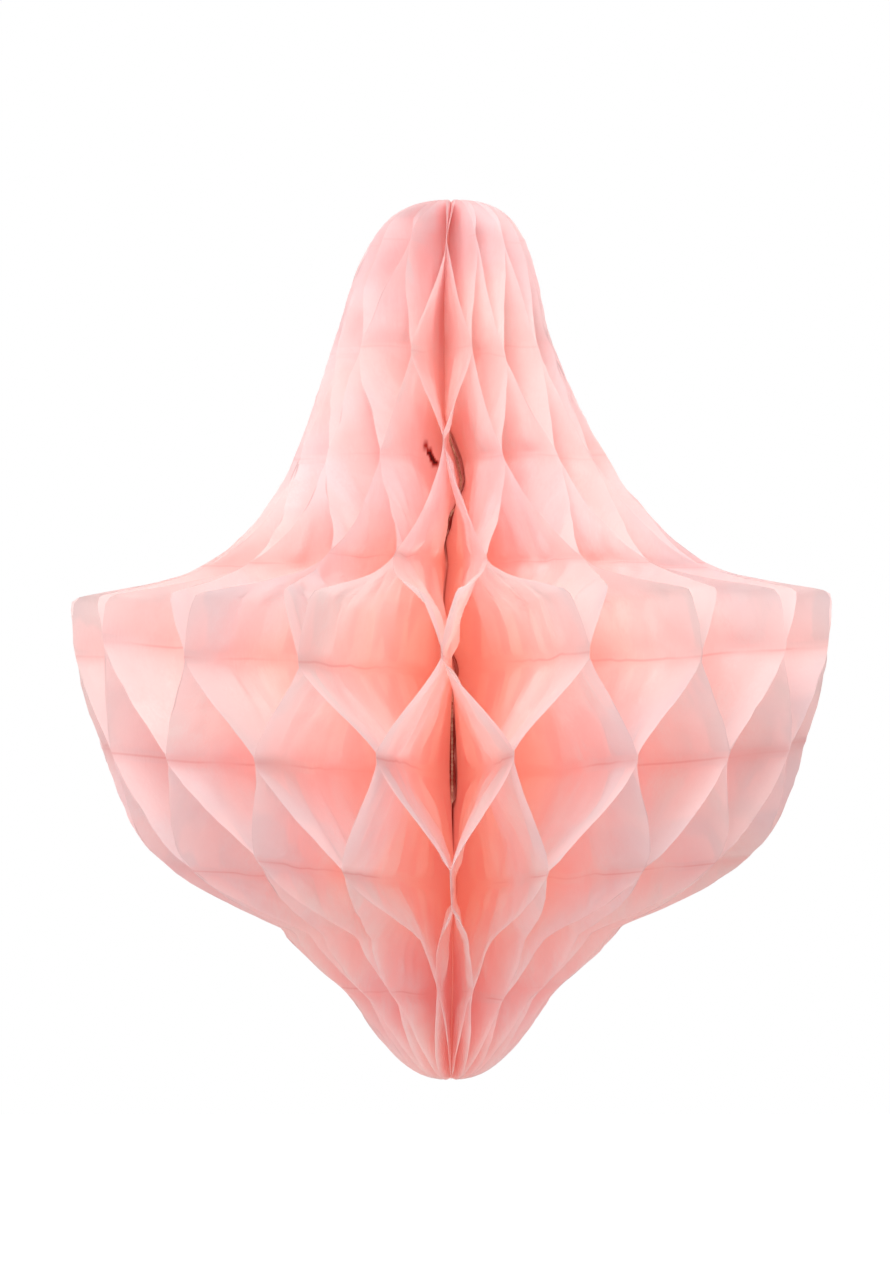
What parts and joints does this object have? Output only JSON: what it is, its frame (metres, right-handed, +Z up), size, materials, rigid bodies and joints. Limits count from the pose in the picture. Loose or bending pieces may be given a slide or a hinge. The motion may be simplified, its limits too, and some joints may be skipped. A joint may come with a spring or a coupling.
{
  "type": "honeycomb paper bell",
  "caption": "Hanging bell of honeycomb tissue: leaves glued in alternating lines open round a spine into diamond cells, with two stiff covers back to back.",
  "frame": {"origin": "top end of the spine, where the bell hangs", "axes": "+Z up along the spine, the bell's length; +Y towards the seam where the covers meet; -Y the front; +X to the right seen from the front"},
  "size_m": [0.2564, 0.259, 0.3],
  "materials": {
    "tissue": "matt translucent pale pink tissue paper, finely creased",
    "card": "matt uncoated pink card",
    "thread": "twisted brown cotton thread"
  },
  "bodies": {
    "root": {"leaf_01": "tissue", "leaf_02": "tissue", "leaf_03": "tissue", "leaf_04": "tissue", "leaf_05": "tissue", "leaf_06": "tissue", "leaf_07": "tissue", "leaf_08": "tissue", "leaf_09": "tissue", "leaf_10": "tissue", "leaf_11": "tissue", "leaf_12": "tissue", "leaf_13": "tissue", "leaf_14": "tissue", "leaf_15": "tissue", "leaf_16": "tissue", "leaf_17": "tissue", "leaf_18": "tissue", "leaf_19": "tissue", "leaf_20": "tissue", "leaf_21": "tissue", "leaf_22": "tissue", "leaf_23": "tissue", "leaf_24": "tissue", "leaf_25": "tissue", "leaf_26": "tissue", "leaf_27": "tissue", "leaf_28": "tissue", "leaf_29": "tissue", "leaf_30": "tissue", "leaf_31": "tissue", "leaf_32": "tissue", "leaf_33": "tissue", "leaf_34": "tissue", "leaf_35": "tissue", "leaf_36": "tissue", "glued_spine": "tissue", "cover_card_left": "card", "cover_card_right": "card", "spine_thread": "thread"}
  },
  "joints": []
}
